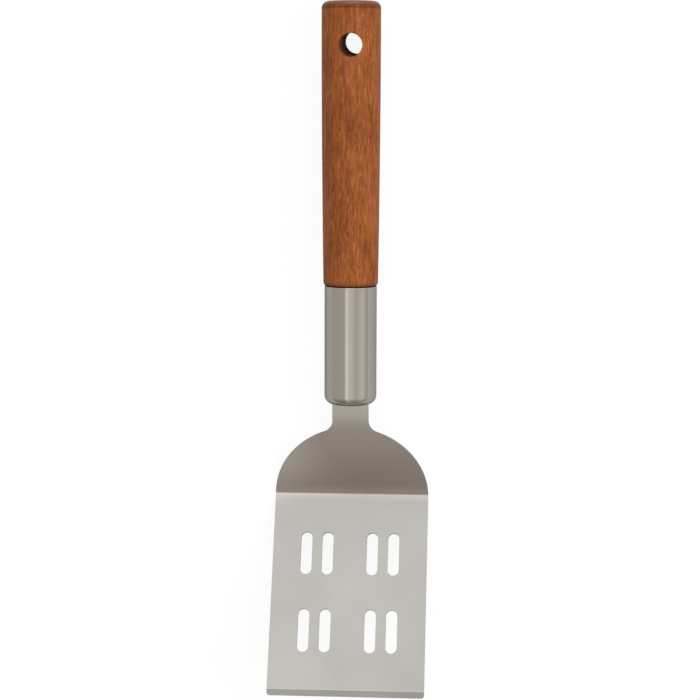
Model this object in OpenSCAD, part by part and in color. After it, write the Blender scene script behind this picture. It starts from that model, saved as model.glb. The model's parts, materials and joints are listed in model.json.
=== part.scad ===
// Slotted kitchen turner: a stamped blade, a drawn ferrule and a round turned handle.
// It lies face up as it rests on a table: on the heel of the blade and the belly of the
// handle. X runs across the blade, Y along the handle towards its end, Z up.

/* [Blade] */
// Width of the blade, also the diameter of its half-round shoulder
blade_w = 76.2; // [60:0.1:100]
// Length of the flat blade from the bend at the heel to the front edge
blade_l = 101.6; // [90:0.1:130]
// Thickness of the sheet
sheet_t = 1.3; // [0.9:0.1:2]
// Radius of the two front corners
corner_r = 1.4; // [0.6:0.1:8]
// Width of the bevel ground along the front edge
grind_w = 3.1; // [1.5:0.1:6]
// Thickness left at the front edge
edge_t = 0.4; // [0.2:0.1:0.8]
// Angle between the blade and the handle
blade_angle = 27.6; // [15:0.1:40]

/* [Slots] */
// Width of a slot
slot_w = 5.5; // [4:0.1:7]
// Length of a slot over its round ends
slot_l = 21.4; // [12:0.1:28]
// Distance between the two slots of a pair
slot_pitch = 10.5; // [9:0.1:13]
// Distance between the middles of the two pairs of a row
pair_pitch = 32.6; // [26:0.1:40]
// Distance from the bend to the middle of the first row
first_row = 30.9; // [24:0.1:36]
// Distance between the two rows
row_pitch = 38.7; // [34:0.1:44]

/* [Shoulder and neck] */
// Width of the neck
neck_w = 17.8; // [14:0.1:20]
// Length of the neck between the ferrule and the top of the half-round shoulder
neck_l = 12.4; // [8:0.1:20]
// Distance from the bend to the middle of the half round, towards the front edge
round_drop = 0.5; // [0:0.1:3]
// Radius of the fillets where the neck runs out into the shoulder
fillet_r = 6.4; // [3:0.1:10]
// Angle by which the neck curves down from the line of the handle
sweep_angle = 16.5; // [10:0.5:24]
// Length of sheet over which it curves down
sweep_l = 12; // [8:0.5:24]
// Further angle by which the shoulder curves down between there and the bend
shoulder_angle = 6; // [1:0.5:12]
// Inside radius of the sharp bend at the heel
heel_r = 1; // [0.6:0.1:3]

/* [Tang] */
// Width of the tang inside the handle
tang_w = 13; // [9:0.1:14]
// Distance that the tang reaches past the ferrule into the grip
tang_reach = 24; // [10:0.5:60]
// Thickness of the adhesive around the tang
bed_t = 0.5; // [0.3:0.1:1]
// Gap that the adhesive leaves against the wood as it cures
cure_gap = 0.02; // [0.01:0.01:0.1]

/* [Ferrule] */
// Outside diameter of the ferrule
ferrule_d = 25.4; // [24:0.1:26]
// Length of the ferrule
ferrule_l = 58; // [40:0.1:80]
// Thickness of the ferrule's wall
ferrule_wall = 0.8; // [0.5:0.1:1.2]
// Outside radius of the closed end's rounded edge
ferrule_end_r = 4.3; // [2:0.1:6]
// Gap all round between the neck and its slot in the ferrule's end
neck_gap = 0.2; // [0.1:0.05:0.5]

/* [Handle] */
// Largest diameter of the grip
grip_d = 28.4; // [27:0.1:34]
// Diameter of the grip beside the ferrule
grip_seam_d = 26.5; // [26.2:0.1:26.9]
// Length of the grip
grip_l = 136.3; // [110:0.1:160]
// Distance from the grip's end to where it is thickest
crest_from_end = 11; // [8:0.5:40]
// Radius of the edge round the grip's end
grip_end_r = 3.5; // [1.5:0.1:6]
// Length of the easing that brings the grip down to the ferrule
seam_ease_l = 2.5; // [1:0.1:5]
// Gap between the spigot and the inside of the ferrule
spigot_gap = 0.05; // [0.02:0.01:0.15]

/* [Hanging hole] */
// Diameter of the hanging hole
hole_d = 11.2; // [6:0.1:14]
// Distance from the grip's end to the middle of the hole
hole_from_end = 20; // [16:0.1:30]
// Distance that the drill ran to one side of the grip's middle
hole_off = 1.2; // [-2:0.1:2]
// Angle by which the hole is turned about the length of the grip
hole_turn = 3.6; // [-6:0.1:6]
// Angle by which the hole leans along the grip
hole_lean = 4.3; // [-5:0.1:5]

/* [Hidden] */
$fn = 64;

// How far cutting bodies run past what they cut
overrun = 1;
// Steps along the shoulder's half round, its two curves down, each small arc and the barrel
round_steps = 30;
sweep_steps = 8;
shoulder_steps = 6;
arc_steps = 8;
barrel_steps = 16;

// Radii
half_w = blade_w / 2;
ferrule_r = ferrule_d / 2;
bore_r = ferrule_r - ferrule_wall;
spigot_r = bore_r - spigot_gap;
grip_r = grip_d / 2;
heel_outer_r = heel_r + sheet_t;
heel_mid_r = heel_r + sheet_t / 2;

// The neck's full width ends inside the ferrule, against the end of the spigot
neck_inset_share = 0.14;
neck_in = neck_w * neck_inset_share;
tang_l = ferrule_l + tang_reach;
// The tang's tip is cropped at its corners by this share of its width
tip_share = 0.25;
tip = tang_w * tip_share;

// The sheet's middle line, seen from the side, leaves the ferrule along the handle,
// curves down over sweep_l and then more gently as far as the bend. Lengths along it
// start at the ferrule's closed end.
round_at = neck_l + half_w;
bend_at = round_at - round_drop;
sweep_r = sweep_l / sweep_angle * 180 / PI;
flat_share = 0.22;
neck_flat = neck_l * flat_share;
sweep_end = neck_flat + sweep_l;
shoulder_l = bend_at - sweep_end;
shoulder_r = shoulder_l / shoulder_angle * 180 / PI;
heel_fall = sweep_angle + shoulder_angle;

// How steeply the middle line has fallen at s, over the first curve and the second
function first_fall(s) = sweep_angle * max(0, min(1, (s - neck_flat) / sweep_l));
function fall(s) = first_fall(s) + shoulder_angle * max(0, (s - sweep_end) / shoulder_l);
function side_y(s) = -min(s, neck_flat) - sweep_r * sin(first_fall(s))
    - shoulder_r * (sin(fall(s)) - sin(first_fall(s)));
function side_z(s) = -sweep_r * (1 - cos(first_fall(s)))
    - shoulder_r * (cos(first_fall(s)) - cos(fall(s)));

bend_y = side_y(bend_at);
bend_z = side_z(bend_at);
bend_angle = heel_fall + blade_angle;

// Middle of the bend's radius, above the heel
heel_tilt = (blade_angle - heel_fall) / 2;
heel_rise = heel_mid_r / cos(bend_angle / 2);
heel_y = bend_y + heel_rise * sin(heel_tilt);
heel_z = bend_z + heel_rise * cos(heel_tilt);
heel_tangent = heel_mid_r * tan(bend_angle / 2);

// The grip is a long barrel: one arc from the ferrule over its thickest place to the end
crest = grip_l - crest_from_end;
barrel_drop = (grip_d - grip_seam_d) / 2;
barrel_r = (crest * crest + barrel_drop * barrel_drop) / (2 * barrel_drop);
function barrel(u) = grip_r - barrel_r + sqrt(barrel_r * barrel_r - (u - crest) * (u - crest));
barrel_l = grip_l - grip_end_r - seam_ease_l;
barrel_places = [for (i = [0:barrel_steps]) seam_ease_l + barrel_l * i / barrel_steps];

// Lay: the table is the line under the heel's bend and under the handle or the ferrule,
// whichever it meets first
under_handle = concat(
    [[ferrule_end_r, -ferrule_r]],
    [for (u = barrel_places) [ferrule_l + u, -barrel(u)]]
);
lay = min([for (p = under_handle) let (run = p.x - heel_y, climb = p.y - heel_z)
    atan2(climb, run) + asin(heel_outer_r / norm([run, climb]))]);
lift = heel_y * sin(lay) - heel_z * cos(lay) + heel_outer_r;

// Foremost and rearmost places as it lies, for the origin under the middle
rise_angle = blade_angle + lay;
front_y = bend_y * cos(lay) + bend_z * sin(lay)
    - blade_l * cos(rise_angle) - sheet_t / 2 * sin(rise_angle);
end_rim = barrel(grip_l - grip_end_r) - grip_end_r;
rear_y = (ferrule_l + grip_l - grip_end_r) * cos(lay) + end_rim * abs(sin(lay)) + grip_end_r;
middle_y = (front_y + rear_y) / 2;

// Places the handle's own frame (origin on its axis at the ferrule's closed end) as it lies
module as_it_lies() {
    translate([0, -middle_y, lift]) rotate([-lay, 0, 0]) children();
}

// Stations of the sheet's middle line, from the tang's tip to the front edge: Y, Z and how
// steeply it falls away from the handle there
neck_stations = [[tang_l, 0, 0], [-neck_flat, 0, 0]];
curve_places = concat(
    [for (i = [1:sweep_steps]) neck_flat + sweep_l * i / sweep_steps],
    [for (i = [1:shoulder_steps - 1]) sweep_end + (shoulder_l - heel_tangent) * i / shoulder_steps]
);
curve_stations = [for (s = curve_places) [side_y(s), side_z(s), fall(s)]];
heel_stations = [for (i = [0:arc_steps]) let (a = heel_fall - bend_angle * i / arc_steps)
    [heel_y + heel_mid_r * sin(a), heel_z - heel_mid_r * cos(a), a]];
function blade_station(v) =
    [bend_y - v * cos(blade_angle), bend_z + v * sin(blade_angle), -blade_angle];
stations = concat(neck_stations, curve_stations, heel_stations);

// Point at a height above the middle line at a station
function beside(station, height) = [
    station[0] - height * sin(station[2]),
    station[1] + height * cos(station[2])
];

// Side view of the whole sheet, with the bevel ground off the top of its front edge
bevel = blade_station(blade_l - grind_w);
front = blade_station(blade_l);
top_line = [for (station = concat(stations, [bevel])) beside(station, sheet_t / 2)];
under_line = [for (i = [len(stations) - 1:-1:0]) beside(stations[i], -sheet_t / 2)];
front_line = [beside(front, edge_t - sheet_t / 2), beside(front, -sheet_t / 2)];
sheet_side = concat(top_line, front_line, under_line);

// Right half of the outline of tang, neck, fillet and half round, as it unrolls: x across
// and t up from the middle of the half round
fillet_x = neck_w / 2 + fillet_r;
fillet_t = sqrt(pow(half_w + fillet_r, 2) - fillet_x * fillet_x);
fillet_turn = atan2(fillet_t, fillet_x);
half_round = [for (i = [0:round_steps]) let (a = fillet_turn * i / round_steps)
    [half_w * cos(a), half_w * sin(a)]];
fillet = [for (i = [1:arc_steps]) let (a = 180 + fillet_turn * (1 - i / arc_steps))
    [fillet_x + fillet_r * cos(a), fillet_t + fillet_r * sin(a)]];
sheet_edge = [for (p = concat(half_round, fillet)) [p.x, side_y(round_at - p.y)]];
tang_edge = [
    [neck_w / 2, neck_in],
    [tang_w / 2, neck_in],
    [tang_w / 2, tang_l - tip],
    [tang_w / 2 - tip, tang_l]
];
right_edge = concat([[half_w, bend_y - blade_l]], sheet_edge, tang_edge);
left_edge = [for (i = [len(right_edge) - 1:-1:0]) [-right_edge[i].x, right_edge[i].y]];

module slot() {
    run = slot_l - slot_w;
    square([slot_w, run], center = true);
    for (end = [-run / 2, run / 2]) translate([0, end]) circle(d = slot_w);
}

// What is cut from the flat blade, in its own plane with the bend line at zero
module slots() {
    for (row = [0, 1], pair = [-1, 1], side = [-1, 1])
        translate([(pair * pair_pitch + side * slot_pitch) / 2, -first_row - row * row_pitch])
            slot();
}

module corner_trim() {
    for (side = [0, 1]) mirror([side, 0]) difference() {
        translate([half_w - corner_r, -blade_l - overrun])
            square([corner_r + overrun, corner_r + overrun]);
        translate([half_w - corner_r, -blade_l + corner_r]) circle(r = corner_r);
    }
}

module stamping() {
    difference() {
        intersection() {
            rotate([90, 0, 90]) linear_extrude(blade_w + 2 * overrun, center = true)
                polygon(sheet_side);
            translate([0, 0, bend_z - overrun - sheet_t]) linear_extrude(blade_l)
                polygon(concat(right_edge, left_edge));
        }
        translate([0, bend_y, bend_z]) rotate([-blade_angle, 0, 0])
            linear_extrude(2 * sheet_t, center = true) {
                slots();
                corner_trim();
            }
    }
}

// Half section of a round cup with a rounded bottom edge, for a turn about its axis
module cup_section(r, edge, length) {
    square([r - edge, length]);
    translate([0, edge]) square([r, length - edge]);
    translate([r - edge, edge]) circle(r = edge);
}

module blade() {
    color("#b5b2ab") as_it_lies() stamping();
}

module ferrule() {
    slot_h = sheet_t + 2 * neck_gap;
    color("#a9a49b") as_it_lies() difference() {
        rotate([-90, 0, 0]) rotate_extrude($fn = 128) difference() {
            cup_section(ferrule_r, ferrule_end_r, ferrule_l);
            translate([0, ferrule_wall])
                cup_section(bore_r, ferrule_end_r - ferrule_wall, ferrule_l);
        }
        translate([-neck_w / 2 - neck_gap, -overrun, -slot_h / 2])
            cube([neck_w + 2 * neck_gap, neck_in + overrun, slot_h]);
    }
}

// Block around the tang from the spigot's end inwards, with room on every other side of it
module tang_block(room) {
    translate([-tang_w / 2 - room, neck_in, -sheet_t / 2 - room])
        cube([tang_w + 2 * room, tang_l + room - neck_in, sheet_t + 2 * room]);
}

// Half section of the handle: radius to the right, up from the ferrule's closed end
spigot_edge = ferrule_end_r;
seam_r = barrel(seam_ease_l);
seam_step = seam_r - ferrule_r;
handle_section = concat(
    [[0, neck_in], [spigot_r - spigot_edge, neck_in]],
    [for (i = [1:arc_steps]) let (a = 90 * (1 - i / arc_steps))
        [spigot_r - spigot_edge + spigot_edge * cos(a), neck_in + spigot_edge * (1 - sin(a))]],
    [[spigot_r, ferrule_l]],
    [for (i = [0:arc_steps - 1]) let (t = i / arc_steps)
        [seam_r - seam_step * (1 - t) * (1 - t), ferrule_l + seam_ease_l * t]],
    [for (u = barrel_places) [barrel(u), ferrule_l + u]],
    [for (i = [1:arc_steps]) let (a = 90 * i / arc_steps)
        [end_rim + grip_end_r * cos(a), ferrule_l + grip_l - grip_end_r * (1 - sin(a))]],
    [[0, ferrule_l + grip_l]]
);

module hanging_hole() {
    translate([hole_off, ferrule_l + grip_l - hole_from_end, 0]) rotate([hole_lean, -hole_turn, 0])
        cylinder(d = hole_d, h = grip_d + 2 * hole_d, center = true);
}

module handle() {
    color("#9b5c34") as_it_lies() difference() {
        rotate([-90, 0, 0]) rotate_extrude($fn = 128) polygon(handle_section);
        tang_block(bed_t + cure_gap);
        hanging_hole();
    }
}

module tang_adhesive() {
    color("#c9bf9a") as_it_lies() difference() {
        tang_block(bed_t);
        stamping();
    }
}

blade();
ferrule();
handle();
tang_adhesive();
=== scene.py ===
"""Looks of the slotted kitchen turner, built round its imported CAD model. Lengths are in metres."""

import json
from math import atan2, cos, pi, radians, sin, sqrt, tan

import bmesh
import bpy
from mathutils import Matrix, Vector


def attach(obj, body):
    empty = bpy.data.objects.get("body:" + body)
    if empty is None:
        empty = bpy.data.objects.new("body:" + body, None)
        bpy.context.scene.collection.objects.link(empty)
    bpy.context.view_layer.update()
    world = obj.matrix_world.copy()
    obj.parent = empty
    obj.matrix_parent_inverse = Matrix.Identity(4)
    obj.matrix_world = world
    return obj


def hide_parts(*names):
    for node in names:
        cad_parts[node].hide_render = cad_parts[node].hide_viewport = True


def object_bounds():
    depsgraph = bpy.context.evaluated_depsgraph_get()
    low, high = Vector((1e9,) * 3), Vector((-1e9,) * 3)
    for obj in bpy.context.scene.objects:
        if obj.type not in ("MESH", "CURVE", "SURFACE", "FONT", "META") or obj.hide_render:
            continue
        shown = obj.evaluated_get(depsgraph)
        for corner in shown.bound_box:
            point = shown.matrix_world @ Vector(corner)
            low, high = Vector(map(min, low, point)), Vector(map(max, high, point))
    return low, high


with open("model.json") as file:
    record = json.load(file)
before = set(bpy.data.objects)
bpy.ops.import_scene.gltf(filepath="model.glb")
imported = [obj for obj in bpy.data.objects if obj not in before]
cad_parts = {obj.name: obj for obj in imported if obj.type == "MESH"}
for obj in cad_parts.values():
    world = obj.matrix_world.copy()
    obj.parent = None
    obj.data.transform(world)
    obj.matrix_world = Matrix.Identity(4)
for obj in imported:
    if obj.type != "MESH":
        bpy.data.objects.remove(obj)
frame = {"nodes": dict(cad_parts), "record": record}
cad_low, cad_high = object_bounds()

MM = 0.001
MICRON = 0.000001
TINY = 0.1 * MICRON
BLACK = (0, 0, 0)
WHITE = (1, 1, 1)

# Blade
BLADE_ANGLE = radians(27.6)
BLADE_W = 76.2 * MM
BLADE_L = 101.6 * MM
SHEET_T = 1.3 * MM
SHEET_EDGE_R = 0.25 * MM
CORNER_R = 1.4 * MM
SLOT_W = 5.5 * MM
SLOT_L = 21.4 * MM
SLOT_PITCH = 10.5 * MM
PAIR_PITCH = 32.6 * MM
FIRST_ROW = 30.9 * MM
ROW_PITCH = 38.7 * MM

# The front edge is ground down to EDGE_T, and the grinding sets in softly over twice GRIND_EASE
GRIND_W = 3.1 * MM
GRIND_EASE = 0.35 * MM
EDGE_T = 0.4 * MM

# Shoulder, neck and tang. The neck is straight for NECK_FLAT and reaches NECK_IN into the
# ferrule, and the bend lies ROUND_DROP short of the half-round shoulder's centre.
NECK_W = 17.8 * MM
NECK_L = 12.4 * MM
NECK_FLAT = 0.22 * NECK_L
NECK_IN = 0.14 * NECK_W
ROUND_DROP = 0.5 * MM
FILLET_R = 6.4 * MM
SWEEP_ANGLE = radians(16.5)
SWEEP_L = 12 * MM
SHOULDER_ANGLE = radians(6)
HEEL_R = 1 * MM
TANG_W = 13 * MM
TANG_REACH = 24 * MM
TANG_TIP = 0.25 * TANG_W

# Ferrule
FERRULE_D = 25.4 * MM
FERRULE_L = 58 * MM
FERRULE_WALL = 0.8 * MM
FERRULE_END_R = 4.3 * MM
FERRULE_LIP_R = 0.45 * MM
NECK_GAP = 0.2 * MM

# Handle
GRIP_D = 28.4 * MM
GRIP_SEAM_D = 26.5 * MM
GRIP_L = 136.3 * MM
CREST_FROM_END = 11 * MM
GRIP_END_R = 3.5 * MM
SEAM_EASE_L = 2.5 * MM
SEAM_GROOVE = 0.65 * MM
SPIGOT_GAP = 0.05 * MM

# Hanging hole, which was drilled off the middle and a little askew
HOLE_D = 11.2 * MM
HOLE_FROM_END = 20 * MM
HOLE_OFF = 1.2 * MM
HOLE_TURN = radians(3.6)
HOLE_LEAN = radians(4.3)
HOLE_RIM_R = 0.3 * MM
HOLE_RIM_TURN = radians(80)

# Fineness of the meshes: steps of a curve, or sides of a round piece
CORNER_STEPS = 8
ROUND_STEPS = 60
FILLET_STEPS = 16
SLOT_END_STEPS = 16
SHEET_EDGE_STEPS = 3
SWEEP_STEPS = 24
SHOULDER_STEPS = 24
HEEL_STEPS = 12
GRIND_EASE_STEPS = 6
FERRULE_SIDES = 160
FERRULE_END_STEPS = 16
FERRULE_INSIDE_STEPS = 12
FERRULE_LIP_STEPS = 6
HANDLE_SIDES = 192
SPIGOT_END_STEPS = 8
GROOVE_STEPS = 6
SEAM_EASE_STEPS = 12
BARREL_STEPS = 60
GRIP_END_STEPS = 16
HOLE_SIDES = 96
HOLE_RIM_STEPS = 5
HALVINGS = 40

# Edges bent further than SHARP_ANGLE stay sharp. The edges round the flat sheet are square to
# within SQUARE_SLACK, and its cut faces are those whose normal rises less than CUT_FACE_RISE.
# Large faces lead where normals are evened out, and an eased edge is an arc.
SHARP_ANGLE = radians(50)
SQUARE_SLACK = 0.1
CUT_FACE_RISE = 0.5
LARGE_FACES_LEAD = 100
ARC_PROFILE = 0.5

# Places of the further materials in a piece's list: one on the blade, two on the handle
SHEET_CUT = 1
HOLE_WALL = 1
SEAM = 2

# Noise. Nearly all of it lies in NOISE_RANGE, and a layer's scale is in repeats per metre
# along x, y and z.
NOISE_RANGE = (0.3, 0.7)
NOISE_MIDDLE = 0.5

# Steel finishes: colours, roughness, and the scale and depth of the brush lines
BLADE_FINISH = dict(dark=(0.450, 0.442, 0.424), light=(0.506, 0.498, 0.480), roughness=0.25,
                    lines=(3500, 60, 60), line_depth=0.25 * MICRON)
# The cut faces are rougher, and much lighter than the blade's steel as a painted highlight
CUT_FINISH_PAINTED_BRIGHT = dict(dark=(0.82, 0.81, 0.79), light=(0.90, 0.89, 0.87), roughness=0.4,
                  lines=(900, 900, 900), line_depth=2 * MICRON)
FERRULE_FINISH = dict(dark=(0.54, 0.53, 0.493), light=(0.58, 0.57, 0.533), roughness=0.16,
                      lines=(60, 3500, 60), line_depth=0.8 * MICRON)
STEEL_EDGE_TINT = (0.7, 0.7, 0.7)
BRUSH_DETAIL = 4
BRUSH_TONE = 0.1
BRUSH_ROUGH = 0.012
CLOUDS = dict(scale=(28, 28, 28), detail=3)
CLOUD_TONE = 0.7
CLOUD_ROUGH = 0.02
SCRATCHES = dict(scale=(2600, 22, 2600), detail=2, turn=radians(23))
SCRATCH_RANGE = (0.70, 0.78)
SCRATCH_ROUGH = 0.02

# Painted highlight and shade in the steel's colour: a painted highlight along the bend, painted
# shade at the shoulder's middle and a painted highlight at its left. Each mark has its place,
# measured from the middle of the bend, its reach along x, y and z, its share and its colour. FAR
# reaches well past the blade's sides.
FAR = 1000 * MM
PAINTED_LIGHT_MARKS = (
    ((0, 1 * MM, 0), (FAR, 5 * MM, 20 * MM), 0.6, (0.65, 0.64, 0.62)),
    ((6 * MM, 10 * MM, 4 * MM), (26 * MM, 20 * MM, 30 * MM), 0.28, (0.30, 0.27, 0.25)),
    ((-40 * MM, 18 * MM, 5 * MM), (34 * MM, 26 * MM, 30 * MM), 1.0, (0.65, 0.67, 0.66)),
)

# Wood with its grain along y: two ramps of colour that take turns, and the layers of noise
WOOD_RED = (
    (0.0, (0.153, 0.032, 0.010)),
    (0.4, (0.268, 0.063, 0.018)),
    (0.6, (0.335, 0.087, 0.028)),
    (1.0, (0.445, 0.140, 0.060)),
)
WOOD_OLIVE = (
    (0.0, (0.148, 0.039, 0.005)),
    (0.4, (0.258, 0.075, 0.008)),
    (0.6, (0.322, 0.102, 0.012)),
    (1.0, (0.428, 0.157, 0.029)),
)
SWAY = dict(scale=(60, 55, 60), detail=1)
SWAY_REACH = 2.2 * MM
HUE = dict(scale=(330, 72, 330), detail=2, turn=radians(3))
HUE_RANGE = (0.32, 0.68)
PATCHES = dict(scale=(120, 34, 120), detail=2)
PATCH_TONE = 0.23
STREAKS = dict(scale=(760, 72, 760), detail=2)
STREAK_TONE = 0.42
FINE_LINES = dict(scale=(900, 230, 900), detail=2)
FINE_TONE = 0.35
PORES = dict(scale=(820, 260, 820), detail=1)
PORE_RANGE = (0.64, 0.72)
PORE_SHARE = 0.6
PORE_COLOUR = (0.14, 0.034, 0.006)
FLECKS = dict(scale=(1250, 130, 1250), detail=1, turn=radians(2))
FLECK_RANGE = (0.64, 0.73)
FLECK_SHARE = 0.4
FLECK_COLOUR = (0.58, 0.25, 0.10)
WOOD_ROUGHNESS = (0.5, 0.62)
WOOD_SHINE = 0.2
WOOD_DEPTH = 0.05 * MM
FINE_HEIGHT = 0.3
VARNISH_ROUGHNESS = 0.3
VARNISH_THIN = 0.08

# The wood is darker over its rounded end, and the varnish is thick round the end's rim only
END_DARK = 3.4 * MM
END_FADE = 0.9 * MM
END_DARKER = 0.42
END_VARNISH = 2.2 * MM
END_VARNISH_FULL = END_VARNISH / 3

# Painted shade: the wood's colour is darkened beside the ferrule, and the groove there is dark as
# far as SEAM_DARK_TO. The hole's wall is bare as far as BARE_R from the hole's axis.
SEAM_SHADE_REACH = 2.1 * MM
SEAM_SHADE_DARKER = 0.38
SEAM_DARK_TO = 0.8 * SEAM_GROOVE
BARE_R = HOLE_D / 2 + HOLE_RIM_R / 4

# Adhesive
RESIN_CLOUDS = dict(scale=(320, 320, 320), detail=4)
RESIN_DARK = (0.42, 0.27, 0.10)
RESIN_LIGHT = (0.60, 0.43, 0.20)
RESIN_ROUGHNESS = (0.28, 0.42)
RESIN_DEPTH = 0.2 * MM

# Camera: the photograph's frame is PHOTO_PX pixels wide. The object is turned by these three
# angles and shifted, and the camera looks straight down at it from CAMERA_HEIGHT.
PHOTO_PX = 700
FOCAL_PX = 1982.5
CAMERA_HEIGHT = 0.9812
CAMERA_TILT = radians(7.5)
CAMERA_ROLL = radians(-3.9)
CAMERA_SPIN = radians(-0.66)
CAMERA_SHIFT = Vector((1.24, 3.5, 0)) * MM
SENSOR = 36

# Studio sky. Along the object, its colour goes by the sine of its lean towards +Y. Across it,
# its level goes by its lean in degrees towards +X.
SKY_ALONG = (
    (-1.0, (0.25, 0.215, 0.19)),
    (-0.86, (0.225, 0.19, 0.165)),
    (-0.78, (0.235, 0.20, 0.175)),
    (-0.72, (0.30, 0.256, 0.225)),
    (-0.53, (0.33, 0.291, 0.262)),
    (-0.35, (0.415, 0.388, 0.360)),
    (-0.14, (0.50, 0.465, 0.44)),
    (0.14, (0.29, 0.286, 0.278)),
    (0.33, (0.80, 0.79, 0.77)),
    (0.50, (0.74, 0.73, 0.71)),
    (0.61, (0.56, 0.552, 0.543)),
    (0.70, (0.56, 0.552, 0.540)),
    (0.82, (0.56, 0.55, 0.54)),
    (0.93, (2.0, 2.0, 2.0)),
    (1.0, (3.0, 3.0, 3.0)),
)
SKY_ACROSS = (
    (-90, 1.05),
    (-72, 1.12),
    (-60, 1.09),
    (-27, 1.14),
    (-20, 1.2),
    (-16.5, 2.55),
    (-12, 2.28),
    (-6, 1.86),
    (2, 1.67),
    (12, 1.62),
    (22, 1.33),
    (32, 1.24),
    (42, 1.45),
    (52, 1.6),
    (61, 1.68),
    (70, 1.3),
    (79, 1.10),
    (90, 1.03),
)

# The sky fades from white at the horizon to its own colour at this sine of its height
HORIZON_TOP = 0.03

# A soft key lamp, aimed at the floor under the object's middle
KEY_POWER = 12
KEY_SIZE = (1.0, 1.4)
KEY_PLACE = Vector((1.1, 0.2, 1.25))

# Floor. To the camera it glows nearly white and keeps a faint shadow. It lights the object as
# a pale grey floor, and glows a little where it is mirrored.
FLOOR_SIZE = 4
FLOOR_PALE = (0.545, 0.545, 0.545)
FLOOR_SEEN = (0.1, 0.1, 0.1)
FLOOR_GLOW = 0.915
FLOOR_GLOW_MIRRORED = 0.03

# Sockets of a Mix node set to colours
MIX_SHARE = 0
MIX_FIRST = 6
MIX_SECOND = 7
MIX_RESULT = 2


def mount(name):
    """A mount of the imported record."""
    return next(m for m in frame["record"]["mounts"] if m["name"] == name)


# The handle's own axes as it lies: along points from the ferrule's closed end to the hole
blade_normal = Vector(mount("blade_top")["axis"])
lay = atan2(blade_normal.y, blade_normal.z) - BLADE_ANGLE
across = Vector((1, 0, 0))
along = Vector((0, cos(lay), -sin(lay)))
upward = Vector((0, sin(lay), cos(lay)))
hole_centre = Vector(mount("hanging_hole")["pos_m"])
ferrule_end = hole_centre - across * HOLE_OFF - along * (FERRULE_L + GRIP_L - HOLE_FROM_END)
to_rest = Matrix.Translation(ferrule_end) @ Matrix((across, along, upward)).transposed().to_4x4()

# Along the flat sheet, s is measured from the ferrule's closed end towards the blade's front
half_w = BLADE_W / 2
round_at = NECK_L + half_w
bend_at = round_at - ROUND_DROP
sweep_end = NECK_FLAT + SWEEP_L
sweep_r = SWEEP_L / SWEEP_ANGLE
shoulder_r = (bend_at - sweep_end) / SHOULDER_ANGLE
heel_fall = SWEEP_ANGLE + SHOULDER_ANGLE
bend_angle = heel_fall + BLADE_ANGLE
heel_mid_r = HEEL_R + SHEET_T / 2
heel_tangent = heel_mid_r * tan(bend_angle / 2)
front = bend_at + BLADE_L
grind_at = front - GRIND_W


# Mesh helpers


def grid(low, high, steps):
    """Evenly spaced values from low to high, both included."""
    return [low + (high - low) * i / steps for i in range(steps + 1)]


def round_angles(count):
    """Evenly spaced angles for one whole turn."""
    return [2 * pi * i / count for i in range(count)]


def new_object(name, data):
    """An object of data, put in the scene."""
    made = bpy.data.objects.new(name, data)
    bpy.context.scene.collection.objects.link(made)
    return made


def mesh_object(name, bm):
    """An object of bm, which is freed."""
    mesh = bpy.data.meshes.new(name)
    bm.to_mesh(mesh)
    bm.free()
    return new_object(name, mesh)


def new_piece(name, bm, node):
    """Makes an object of bm, given in the handle's own axes, that stands for a CAD node."""
    bmesh.ops.transform(bm, matrix=to_rest, verts=bm.verts)
    bmesh.ops.recalc_face_normals(bm, faces=bm.faces)
    for face in bm.faces:
        face.smooth = True
    for edge in bm.edges:
        edge.smooth = edge.calc_face_angle(0) < SHARP_ANGLE
    piece = mesh_object(name, bm)
    even = piece.modifiers.new("even_normals", "WEIGHTED_NORMAL")
    even.weight = LARGE_FACES_LEAD
    even.keep_sharp = True
    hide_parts(node)
    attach(piece, "root")
    return piece


def turned(profile, sides):
    """A solid turned about the handle's axis. Its (radius, place) points start and end on it."""
    bm = bmesh.new()
    rings = []
    for radius, place in profile:
        if radius < TINY:
            rings.append([bm.verts.new((0, place, 0))])
        else:
            rings.append([bm.verts.new((radius * sin(a), place, radius * cos(a)))
                          for a in round_angles(sides)])
    for ring, following in zip(rings, rings[1:]):
        for i in range(sides):
            j = (i + 1) % sides
            corners = (ring[i % len(ring)], ring[j % len(ring)],
                       following[j % len(following)], following[i % len(following)])
            bm.faces.new(list(dict.fromkeys(corners)))
    bmesh.ops.recalc_face_normals(bm, faces=bm.faces)
    return bm


def arc(centre, radius, start, end, steps):
    """(radius, place) points round an arc from angle start to end, in degrees."""
    return [(centre[0] + radius * cos(radians(a)), centre[1] + radius * sin(radians(a)))
            for a in grid(start, end, steps)]


def cut(bm, tool):
    """bm without tool, both closed meshes."""
    body = mesh_object("cutting", bm)
    cutter = mesh_object("cutting", tool)
    difference = body.modifiers.new("cut", "BOOLEAN")
    difference.operation = "DIFFERENCE"
    difference.solver = "EXACT"
    difference.object = cutter
    bpy.context.view_layer.update()
    evaluated = body.evaluated_get(bpy.context.evaluated_depsgraph_get())
    result = bmesh.new()
    result.from_mesh(evaluated.to_mesh())
    for thing in (body, cutter):
        bpy.data.objects.remove(thing)
    return result


# Blade: a flat outline with its slots is filled, given its thickness, eased along its edges
# and then bent. Flat places are (x, s).


def on_shoulder(s):
    """The same as middle_line, for s on the shoulder between its first curve and the bend."""
    start_y, start_z, start_fall = middle_line(sweep_end)
    fall = start_fall + (s - sweep_end) / shoulder_r
    return (start_y - shoulder_r * (sin(fall) - sin(start_fall)),
            start_z - shoulder_r * (cos(start_fall) - cos(fall)), fall)


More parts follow.
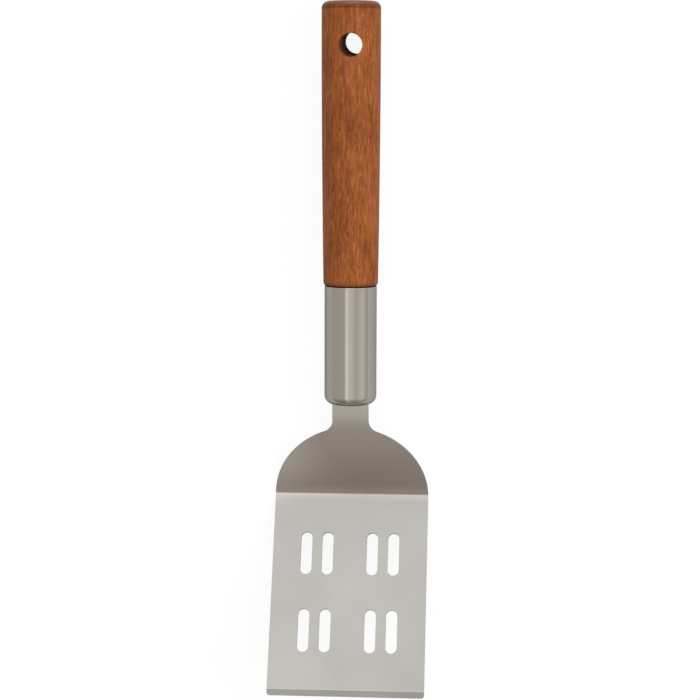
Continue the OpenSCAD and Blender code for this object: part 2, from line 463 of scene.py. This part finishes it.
def middle_line(s):
    """Place (y, z) and fall of the sheet's middle line at s, in the handle's own axes."""
    if s <= NECK_FLAT:
        return -s, 0, 0
    if s <= sweep_end:
        fall = (s - NECK_FLAT) / sweep_r
        return -NECK_FLAT - sweep_r * sin(fall), -sweep_r * (1 - cos(fall)), fall
    if s <= bend_at - heel_tangent:
        return on_shoulder(s)
    corner_y, corner_z, _ = on_shoulder(bend_at)
    if s >= bend_at + heel_tangent:
        run = s - bend_at
        return corner_y - run * cos(BLADE_ANGLE), corner_z + run * sin(BLADE_ANGLE), -BLADE_ANGLE
    tilt = (BLADE_ANGLE - heel_fall) / 2
    rise = heel_mid_r / cos(bend_angle / 2)
    centre_y = corner_y + rise * sin(tilt)
    centre_z = corner_z + rise * cos(tilt)
    share = (s - bend_at + heel_tangent) / (2 * heel_tangent)
    fall = heel_fall - bend_angle * share
    return centre_y + heel_mid_r * sin(fall), centre_z - heel_mid_r * cos(fall), fall


def bent(x, s, height):
    """Where a flat place at a height above the middle line goes, in the handle's own axes."""
    run = s - grind_at
    if abs(run) < GRIND_EASE:
        run = (run + GRIND_EASE) ** 2 / (4 * GRIND_EASE)
    ground = max(0, run) / GRIND_W
    share = (height + SHEET_T / 2) / SHEET_T
    height -= share * ground * (SHEET_T - EDGE_T)
    y, z, fall = middle_line(s)
    return x, y - height * sin(fall), z + height * cos(fall)


def blade_outline():
    """Right half of the outline, from the front corner to the tang's tip."""
    fillet_x = NECK_W / 2 + FILLET_R
    fillet_s = sqrt((half_w + FILLET_R) ** 2 - fillet_x ** 2)
    turn = atan2(fillet_s, fillet_x)
    corner_x = half_w - CORNER_R
    corner_s = front - CORNER_R
    points = [(corner_x + CORNER_R * sin(a), corner_s + CORNER_R * cos(a))
              for a in grid(0, pi / 2, CORNER_STEPS)]
    points += [(half_w * cos(a), round_at - half_w * sin(a)) for a in grid(0, turn, ROUND_STEPS)]
    points += [(fillet_x + FILLET_R * cos(a), round_at - fillet_s - FILLET_R * sin(a))
               for a in grid(pi + turn, pi, FILLET_STEPS)[1:]]
    tang_end = -FERRULE_L - TANG_REACH
    points += [(NECK_W / 2, -NECK_IN), (TANG_W / 2, -NECK_IN),
               (TANG_W / 2, tang_end + TANG_TIP), (TANG_W / 2 - TANG_TIP, tang_end)]
    return points


def slot_outline(x, s):
    """Outline of a slot with round ends, centred at a flat place."""
    run = (SLOT_L - SLOT_W) / 2
    points = []
    for middle, start in ((s + run, 0), (s - run, pi)):
        points += [(x + SLOT_W / 2 * cos(a), middle + SLOT_W / 2 * sin(a))
                   for a in grid(start, start + pi, SLOT_END_STEPS)]
    return points


def slot_places():
    """Flat places of the slots: two rows of two pairs."""
    return [((pair * PAIR_PITCH + side * SLOT_PITCH) / 2, bend_at + FIRST_ROW + row * ROW_PITCH)
            for row in (0, 1) for pair in (-1, 1) for side in (-1, 1)]


def on_rim(edge):
    """Whether an edge of the flat sheet lies between its top or bottom and a cut face."""
    square = len(edge.link_faces) == 2 and abs(edge.calc_face_angle() - pi / 2) < SQUARE_SLACK
    return square and abs(edge.verts[0].co.z - edge.verts[1].co.z) < SHEET_T / 2


def flat_sheet():
    """The sheet before it is bent, with its slots and its eased edges."""
    right = blade_outline()
    loops = [right + [(-x, s) for x, s in reversed(right)]]
    loops += [slot_outline(x, s) for x, s in slot_places()]
    bm = bmesh.new()
    edges = []
    for loop in loops:
        verts = [bm.verts.new((x, s, -SHEET_T / 2)) for x, s in loop]
        edges += [bm.edges.new((v, verts[i - 1])) for i, v in enumerate(verts)]
    bmesh.ops.triangle_fill(bm, edges=edges, use_beauty=True, use_dissolve=False)
    made = bmesh.ops.extrude_face_region(bm, geom=bm.faces[:])["geom"]
    top = [v for v in made if isinstance(v, bmesh.types.BMVert)]
    bmesh.ops.translate(bm, vec=(0, 0, SHEET_T), verts=top)
    bmesh.ops.recalc_face_normals(bm, faces=bm.faces)
    bmesh.ops.bevel(bm, geom=[e for e in bm.edges if on_rim(e)], affect="EDGES",
                    offset=SHEET_EDGE_R, segments=SHEET_EDGE_STEPS, profile=ARC_PROFILE,
                    clamp_overlap=True)
    return bm


def make_blade():
    """The stamped sheet. It gets a row of edges at each station, so that it bends smoothly."""
    bm = flat_sheet()
    stations = grid(NECK_FLAT, sweep_end, SWEEP_STEPS)
    stations += grid(sweep_end, bend_at - heel_tangent, SHOULDER_STEPS)[1:-1]
    stations += grid(bend_at - heel_tangent, bend_at + heel_tangent, HEEL_STEPS)
    stations += grid(grind_at - GRIND_EASE, grind_at + GRIND_EASE, GRIND_EASE_STEPS)
    for s in stations:
        bmesh.ops.bisect_plane(bm, geom=bm.verts[:] + bm.edges[:] + bm.faces[:], dist=TINY,
                               plane_co=(0, s, 0), plane_no=(0, 1, 0))
    for face in bm.faces:
        face.normal_update()
        if abs(face.normal.z) < CUT_FACE_RISE:
            face.material_index = SHEET_CUT
    for v in bm.verts:
        v.co = bent(*v.co)
    return new_piece("blade_sheet", bm, "blade")


# Ferrule


def make_ferrule():
    """The tube with its rounded closed end, its rounded lip and the neck's slot."""
    outer = FERRULE_D / 2
    end_r = FERRULE_END_R
    lip = FERRULE_LIP_R
    profile = [(0, 0), (outer - end_r, 0)]
    profile += arc((outer - end_r, end_r), end_r, -90, 0, FERRULE_END_STEPS)[1:]
    profile += arc((outer - lip, FERRULE_L - lip), lip, 0, 90, FERRULE_LIP_STEPS)
    profile += [(outer - FERRULE_WALL, FERRULE_L)]
    profile += arc((outer - end_r, end_r), end_r - FERRULE_WALL, 0, -90, FERRULE_INSIDE_STEPS)
    profile += [(0, FERRULE_WALL)]
    tube = turned(profile, FERRULE_SIDES)
    slot = bmesh.new()
    bmesh.ops.create_cube(slot, size=1)
    slot_size = (NECK_W + 2 * NECK_GAP, 2 * NECK_IN, SHEET_T + 2 * NECK_GAP)
    bmesh.ops.scale(slot, verts=slot.verts, vec=slot_size)
    return new_piece("ferrule_tube", cut(tube, slot), "ferrule")


# Handle


def barrel(u):
    """Radius of the grip's long arc at u from the ferrule."""
    crest = GRIP_L - CREST_FROM_END
    drop = (GRIP_D - GRIP_SEAM_D) / 2
    arc_r = (crest ** 2 + drop ** 2) / (2 * drop)
    return GRIP_D / 2 - arc_r + sqrt(arc_r ** 2 - (u - crest) ** 2)


def bore_tool():
    """The hanging hole with its rounded rims, as a closed solid to cut from the handle."""
    centre = Vector((HOLE_OFF, FERRULE_L + GRIP_L - HOLE_FROM_END, 0))
    turn = (Matrix.Rotation(-HOLE_TURN, 3, "Y") @ Matrix.Rotation(HOLE_LEAN, 3, "X")).transposed()

    def at(radius, angle, height):
        return centre + radius * (cos(angle) * turn[0] + sin(angle) * turn[1]) + height * turn[2]

    def surface(radius, angle, side):
        """Height at which a line beside the hole's axis leaves the grip."""
        low, high = 0, GRIP_D
        for _ in range(HALVINGS):
            height = (low + high) / 2
            p = at(radius, angle, side * height)
            if sqrt(p.x ** 2 + p.z ** 2) < barrel(p.y - FERRULE_L):
                low = height
            else:
                high = height
        return side * low

    angles = round_angles(HOLE_SIDES)
    rim = [(HOLE_D / 2 + HOLE_RIM_R * (1 - cos(t)), HOLE_RIM_R * (1 - sin(t)))
           for t in grid(0, HOLE_RIM_TURN, HOLE_RIM_STEPS)]
    widest, _ = rim[-1]
    rings = []
    for side in (-1, 1):
        circles = [[at(radius, a, surface(radius, a, side) - side * depth) for a in angles]
                   for radius, depth in rim]
        circles.append([at(widest, a, side * GRIP_D) for a in angles])
        rings += circles if side > 0 else circles[::-1]
    bm = bmesh.new()
    loops = [[bm.verts.new(p) for p in ring] for ring in rings]
    for ring, following in zip(loops, loops[1:]):
        for i in range(HOLE_SIDES):
            j = (i + 1) % HOLE_SIDES
            bm.faces.new((ring[i], ring[j], following[j], following[i]))
    bm.faces.new(loops[0])
    bm.faces.new(loops[-1])
    bmesh.ops.recalc_face_normals(bm, faces=bm.faces)
    return bm


def make_handle():
    """The turned handle: spigot, groove at the seam, grip with its rounded end, hanging hole."""
    spigot = FERRULE_D / 2 - FERRULE_WALL - SPIGOT_GAP
    edge = FERRULE_END_R
    groove = SEAM_GROOVE
    seam = barrel(SEAM_EASE_L)
    step = seam - FERRULE_D / 2
    barrel_l = GRIP_L - GRIP_END_R
    profile = [(0, NECK_IN)]
    profile += arc((spigot - edge, NECK_IN + edge), edge, -90, 0, SPIGOT_END_STEPS)
    profile += [(spigot, FERRULE_L)]
    profile += arc((FERRULE_D / 2 - groove, FERRULE_L + groove), groove, -90, 0, GROOVE_STEPS)
    profile += [(seam - step * (1 - t) ** 2, FERRULE_L + SEAM_EASE_L * t)
                for t in grid(0, 1, SEAM_EASE_STEPS) if SEAM_EASE_L * t > groove]
    profile += [(barrel(u), FERRULE_L + u) for u in grid(SEAM_EASE_L, barrel_l, BARREL_STEPS)[1:]]
    profile += arc((barrel(barrel_l) - GRIP_END_R, FERRULE_L + barrel_l), GRIP_END_R, 0, 90,
                   GRIP_END_STEPS)[1:]
    profile += [(0, FERRULE_L + GRIP_L)]
    return new_piece("handle_wood", cut(turned(profile, HANDLE_SIDES), bore_tool()), "handle")


def mark_handle(handle):
    """Gives the hole's wall a material of its own, and the groove at the ferrule a painted shade."""
    bore_axis = Vector(mount("hanging_hole")["axis"])
    for face in handle.data.polygons:
        offset = face.center - hole_centre
        aside = (offset - bore_axis * offset.dot(bore_axis)).length
        from_seam = (face.center - ferrule_end).dot(along) - FERRULE_L
        if aside < BARE_R:
            face.material_index = HOLE_WALL
        elif from_seam < SEAM_DARK_TO:
            face.material_index = SEAM


# Material helpers


def material(name):
    """A new material, its node tree and its shader."""
    made = bpy.data.materials.new(name)
    made.use_nodes = True
    return made, made.node_tree, made.node_tree.nodes["Principled BSDF"]


def add(tree, kind, **settings):
    """A new node with its settings."""
    made = tree.nodes.new(kind)
    for key, value in settings.items():
        setattr(made, key, value)
    return made


def put(tree, value, target):
    """Joins an output socket to an input socket, or sets the input to a number or a colour."""
    if isinstance(value, bpy.types.NodeSocket):
        tree.links.new(value, target)
    elif isinstance(value, (int, float)):
        target.default_value = value
    else:
        target.default_value = (*value, 1)


def object_place(tree):
    """Places in object space, which is the scene's own frame for every piece."""
    return add(tree, "ShaderNodeTexCoord").outputs["Object"]


def noise(tree, scale, detail, turn=0, place=None):
    """A layer of noise at place, or in object space, with its scale turned about z."""
    mapping = add(tree, "ShaderNodeMapping")
    mapping.inputs["Scale"].default_value = scale
    mapping.inputs["Rotation"].default_value = (0, 0, turn)
    put(tree, place or object_place(tree), mapping.inputs["Vector"])
    made = add(tree, "ShaderNodeTexNoise")
    made.inputs["Scale"].default_value = 1
    made.inputs["Detail"].default_value = detail
    put(tree, mapping.outputs["Vector"], made.inputs["Vector"])
    return made.outputs["Fac"]


def maths(tree, kind, first, second):
    """A sum, difference or the like of two values, each a socket or a number."""
    made = add(tree, "ShaderNodeMath", operation=kind)
    put(tree, first, made.inputs[0])
    put(tree, second, made.inputs[1])
    return made.outputs["Value"]


def spread(tree, value, low, high, to_low, to_high, way="LINEAR"):
    """Maps value from low...high to to_low...to_high, held at the ends."""
    made = add(tree, "ShaderNodeMapRange", interpolation_type=way)
    for socket, number in (("From Min", low), ("From Max", high), ("To Min", to_low),
                           ("To Max", to_high)):
        made.inputs[socket].default_value = number
    put(tree, value, made.inputs["Value"])
    return made.outputs["Result"]


def ramp(tree, value, stops):
    """Colours value through (place, colour) stops."""
    made = add(tree, "ShaderNodeValToRGB")
    points = made.color_ramp.elements
    while len(points) < len(stops):
        points.new(1)
    for point, (place, colour) in zip(points, stops):
        point.position = place
        point.color = (*colour, 1)
    put(tree, value, made.inputs["Fac"])
    return made.outputs["Color"]


def blend(tree, share, first, second, kind="MIX"):
    """Mixes two colours; each may be a socket or a fixed colour."""
    made = add(tree, "ShaderNodeMix", data_type="RGBA", blend_type=kind)
    put(tree, share, made.inputs[MIX_SHARE])
    put(tree, first, made.inputs[MIX_FIRST])
    put(tree, second, made.inputs[MIX_SECOND])
    return made.outputs[MIX_RESULT]


def bump(tree, shader, height, depth):
    """Shades the surface as if height, times depth, stood out of it."""
    made = add(tree, "ShaderNodeBump")
    made.inputs["Strength"].default_value = 1
    made.inputs["Distance"].default_value = depth
    put(tree, height, made.inputs["Height"])
    put(tree, made.outputs["Normal"], shader.inputs["Normal"])


def wavy_place(tree, layer, reach):
    """Object space whose points sway sideways by up to about reach."""
    sway = maths(tree, "SUBTRACT", noise(tree, **layer), NOISE_MIDDLE)
    sway = maths(tree, "MULTIPLY", sway, 2 * reach)
    shift = add(tree, "ShaderNodeCombineXYZ")
    put(tree, sway, shift.inputs["X"])
    put(tree, sway, shift.inputs["Z"])
    total = add(tree, "ShaderNodeVectorMath", operation="ADD")
    put(tree, object_place(tree), total.inputs[0])
    put(tree, shift.outputs["Vector"], total.inputs[1])
    return total.outputs["Vector"]


def near(tree, centre, reach):
    """1 at a place in object space, falling smoothly to 0 at reach along x, y and z."""
    place = object_place(tree)
    for kind, values in (("SUBTRACT", centre), ("DIVIDE", reach)):
        made = add(tree, "ShaderNodeVectorMath", operation=kind)
        put(tree, place, made.inputs[0])
        made.inputs[1].default_value = values
        place = made.outputs["Vector"]
    distance = add(tree, "ShaderNodeVectorMath", operation="LENGTH")
    put(tree, place, distance.inputs[0])
    return spread(tree, distance.outputs["Value"], 0, 1, 1, 0, "SMOOTHSTEP")


def scaled(colour, level):
    """A colour times level."""
    return [part * level for part in colour]


# Materials


def painted_light_marks():
    """The steel's painted highlights and shade, with their places in the scene."""
    bend_y, bend_z, _ = middle_line(bend_at)
    bend = to_rest @ Vector((0, bend_y, bend_z))
    return [(bend + Vector(place), reach, share, tint) for place, reach, share, tint in PAINTED_LIGHT_MARKS]


def steel(name, dark, light, roughness, lines, line_depth, painted_light=()):
    """Satin steel: fine brush lines, soft clouds, faint scratches, and painted highlights and shade.
    """
    made, tree, shader = material(name)
    clouds = noise(tree, **CLOUDS)
    brushed = noise(tree, lines, BRUSH_DETAIL)
    scratches = spread(tree, noise(tree, **SCRATCHES), *SCRATCH_RANGE, 0, SCRATCH_ROUGH)
    tone = maths(tree, "ADD", spread(tree, clouds, *NOISE_RANGE, 0, CLOUD_TONE),
                 spread(tree, brushed, *NOISE_RANGE, 0, BRUSH_TONE))
    colour = ramp(tree, tone, ((0, dark), (1, light)))
    # Painted highlight and shade, blended into the base colour
    for centre, reach, share, tint in painted_light:
        colour = blend(tree, maths(tree, "MULTIPLY", near(tree, centre, reach), share), colour, tint)
    put(tree, colour, shader.inputs["Base Color"])
    rough = spread(tree, brushed, *NOISE_RANGE, roughness - BRUSH_ROUGH, roughness + BRUSH_ROUGH)
    rough = maths(tree, "ADD", rough, spread(tree, clouds, *NOISE_RANGE, -CLOUD_ROUGH, CLOUD_ROUGH))
    put(tree, maths(tree, "ADD", rough, scratches), shader.inputs["Roughness"])
    put(tree, 1, shader.inputs["Metallic"])
    put(tree, STEEL_EDGE_TINT, shader.inputs["Specular Tint"])
    bump(tree, shader, brushed, line_depth)
    return made


def wood_colour(tree, place, tone, level):
    """Colour of the wood by its tone, with its hue, pores and flecks, all of it times level."""
    warm, olive = [ramp(tree, tone, [(at, scaled(colour, level)) for at, colour in stops])
                   for stops in (WOOD_RED, WOOD_OLIVE)]
    hue = noise(tree, place=place, **HUE)
    colour = blend(tree, spread(tree, hue, *HUE_RANGE, 0, 1), warm, olive)
    for layer, limits, share, spot in ((PORES, PORE_RANGE, PORE_SHARE, PORE_COLOUR),
                                       (FLECKS, FLECK_RANGE, FLECK_SHARE, FLECK_COLOUR)):
        spots = spread(tree, noise(tree, place=place, **layer), *limits, 0, share)
        colour = blend(tree, spots, colour, scaled(spot, level))
    return colour


def wood(name, level, gloss):
    """Reddish brown varnished wood, darker at its end, with painted shade beside the ferrule."""
    made, tree, shader = material(name)
    place = wavy_place(tree, SWAY, SWAY_REACH)
    streaks = noise(tree, place=place, **STREAKS)
    fine = noise(tree, place=place, **FINE_LINES)
    tone = spread(tree, noise(tree, place=place, **PATCHES), *NOISE_RANGE, 0, PATCH_TONE)
    for layer, share in ((streaks, STREAK_TONE), (fine, FINE_TONE)):
        tone = maths(tree, "ADD", tone, spread(tree, layer, *NOISE_RANGE, 0, share))
    parts = add(tree, "ShaderNodeSeparateXYZ")
    put(tree, place, parts.inputs["Vector"])
    y = parts.outputs["Y"]
    end = cad_high[1]
    seam = (to_rest @ Vector((0, FERRULE_L, 0))).y
    dark = spread(tree, y, end - END_DARK - END_FADE, end - END_DARK, 0, END_DARKER, "SMOOTHSTEP")
    # Painted shade beside the ferrule
    seam_shade = spread(tree, y, seam + SEAM_GROOVE, seam + SEAM_SHADE_REACH, SEAM_SHADE_DARKER, 0)
    colour = blend(tree, dark, wood_colour(tree, place, tone, level), BLACK)
    put(tree, blend(tree, seam_shade, colour, BLACK), shader.inputs["Base Color"])
    put(tree, spread(tree, streaks, *NOISE_RANGE, *WOOD_ROUGHNESS), shader.inputs["Roughness"])
    put(tree, WOOD_SHINE * gloss, shader.inputs["Specular IOR Level"])
    varnish = spread(tree, y, end - END_VARNISH, end - END_VARNISH_FULL, VARNISH_THIN * gloss, gloss)
    put(tree, varnish, shader.inputs["Coat Weight"])
    put(tree, VARNISH_ROUGHNESS, shader.inputs["Coat Roughness"])
    pores = spread(tree, noise(tree, place=place, **PORES), *PORE_RANGE, 0, 1)
    bump(tree, shader, maths(tree, "SUBTRACT", maths(tree, "MULTIPLY", fine, FINE_HEIGHT), pores),
         WOOD_DEPTH)
    return made


def resin(name):
    """Amber adhesive with a faintly wavy, cloudy surface."""
    made, tree, shader = material(name)
    clouds = noise(tree, **RESIN_CLOUDS)
    tone = spread(tree, clouds, *NOISE_RANGE, 0, 1)
    put(tree, ramp(tree, tone, ((0, RESIN_DARK), (1, RESIN_LIGHT))), shader.inputs["Base Color"])
    put(tree, spread(tree, clouds, *NOISE_RANGE, *RESIN_ROUGHNESS), shader.inputs["Roughness"])
    bump(tree, shader, clouds, RESIN_DEPTH)
    return made


def dress(piece, finishes):
    """Gives a piece its materials."""
    piece.data.materials.clear()
    for made in finishes:
        piece.data.materials.append(made)


# Stage


def make_floor():
    """The plain floor, whose glow only the camera and mirrors see."""
    bm = bmesh.new()
    bmesh.ops.create_grid(bm, x_segments=1, y_segments=1, size=FLOOR_SIZE)
    floor = mesh_object("floor", bm)
    made, tree, shader = material("floor")
    path = add(tree, "ShaderNodeLightPath").outputs
    seen = path["Is Camera Ray"]
    put(tree, blend(tree, seen, FLOOR_PALE, FLOOR_SEEN), shader.inputs["Base Color"])
    put(tree, 1, shader.inputs["Roughness"])
    put(tree, 0, shader.inputs["Specular IOR Level"])
    put(tree, WHITE, shader.inputs["Emission Color"])
    mirrored = maths(tree, "MAXIMUM", path["Is Glossy Ray"], path["Is Transmission Ray"])
    glow = maths(tree, "ADD", maths(tree, "MULTIPLY", seen, FLOOR_GLOW),
                 maths(tree, "MULTIPLY", mirrored, FLOOR_GLOW_MIRRORED))
    put(tree, glow, shader.inputs["Emission Strength"])
    floor.data.materials.append(made)


def make_world():
    """The studio sky: its colour along the object times its level across, and white to the camera."""
    world = bpy.data.worlds.new("studio")
    bpy.context.scene.world = world
    world.use_nodes = True
    tree = world.node_tree
    parts = add(tree, "ShaderNodeSeparateXYZ")
    put(tree, add(tree, "ShaderNodeTexCoord").outputs["Generated"], parts.inputs["Vector"])
    along_peak = max(max(colour) for _, colour in SKY_ALONG)
    across_peak = max(level for _, level in SKY_ACROSS)
    lean = spread(tree, parts.outputs["Y"], -1, 1, 0, 1)
    side = maths(tree, "ARCTAN2", parts.outputs["X"], parts.outputs["Z"])
    side = spread(tree, side, -pi / 2, pi / 2, 0, 1)
    along_sky = ramp(tree, lean, [((sine + 1) / 2, scaled(colour, 1 / along_peak))
                                  for sine, colour in SKY_ALONG])
    across_sky = ramp(tree, side, [((angle + 90) / 180, scaled(WHITE, level / across_peak))
                                   for angle, level in SKY_ACROSS])
    sky = blend(tree, 1, along_sky, across_sky, "MULTIPLY")
    white = scaled(WHITE, 1 / (along_peak * across_peak))
    sky = blend(tree, spread(tree, parts.outputs["Z"], 0, HORIZON_TOP, 0, 1), white, sky)
    seen = add(tree, "ShaderNodeLightPath").outputs["Is Camera Ray"]
    background = tree.nodes["Background"]
    put(tree, blend(tree, seen, sky, white), background.inputs["Color"])
    put(tree, along_peak * across_peak, background.inputs["Strength"])


def make_lamp():
    """The key lamp, which mirrors don't show."""
    data = bpy.data.lights.new("key", "AREA")
    data.shape = "RECTANGLE"
    data.size, data.size_y = KEY_SIZE
    data.energy = KEY_POWER
    lamp = new_object("key", data)
    lamp.location = KEY_PLACE
    lamp.rotation_euler = (-KEY_PLACE).to_track_quat("-Z", "Y").to_euler()
    lamp.visible_glossy = False


def make_camera():
    """The photograph's view."""
    data = bpy.data.cameras.new("camera")
    data.sensor_width = SENSOR
    data.lens = SENSOR * FOCAL_PX / PHOTO_PX
    camera = new_object("camera", data)
    turn = (Matrix.Rotation(CAMERA_SPIN, 3, "Z") @ Matrix.Rotation(CAMERA_ROLL, 3, "Y")
            @ Matrix.Rotation(CAMERA_TILT, 3, "X")).transposed()
    eye = turn @ (Vector((0, 0, CAMERA_HEIGHT)) - CAMERA_SHIFT)
    camera.matrix_world = Matrix.Translation(eye) @ turn.to_4x4()
    bpy.context.scene.camera = camera


blade = make_blade()
ferrule = make_ferrule()
handle = make_handle()
# The blade's cut faces get the lighter steel, a painted highlight
dress(blade, [steel("blade_steel", painted_light=painted_light_marks(), **BLADE_FINISH),
              steel("blade_edge_painted_bright", **CUT_FINISH_PAINTED_BRIGHT)])
dress(ferrule, [steel("ferrule_steel", **FERRULE_FINISH)])
# The third wood, much darker, is painted shade in the groove at the ferrule
dress(handle, [wood("handle_wood", level=1, gloss=1), wood("handle_bare", level=1, gloss=0.8),
               wood("handle_seam_shade", level=0.2, gloss=0)])
mark_handle(handle)
dress(frame["nodes"]["tang_adhesive"], [resin("adhesive")])

make_floor()
make_world()
make_lamp()
make_camera()

scene = bpy.context.scene
scene.view_settings.view_transform = "Standard"
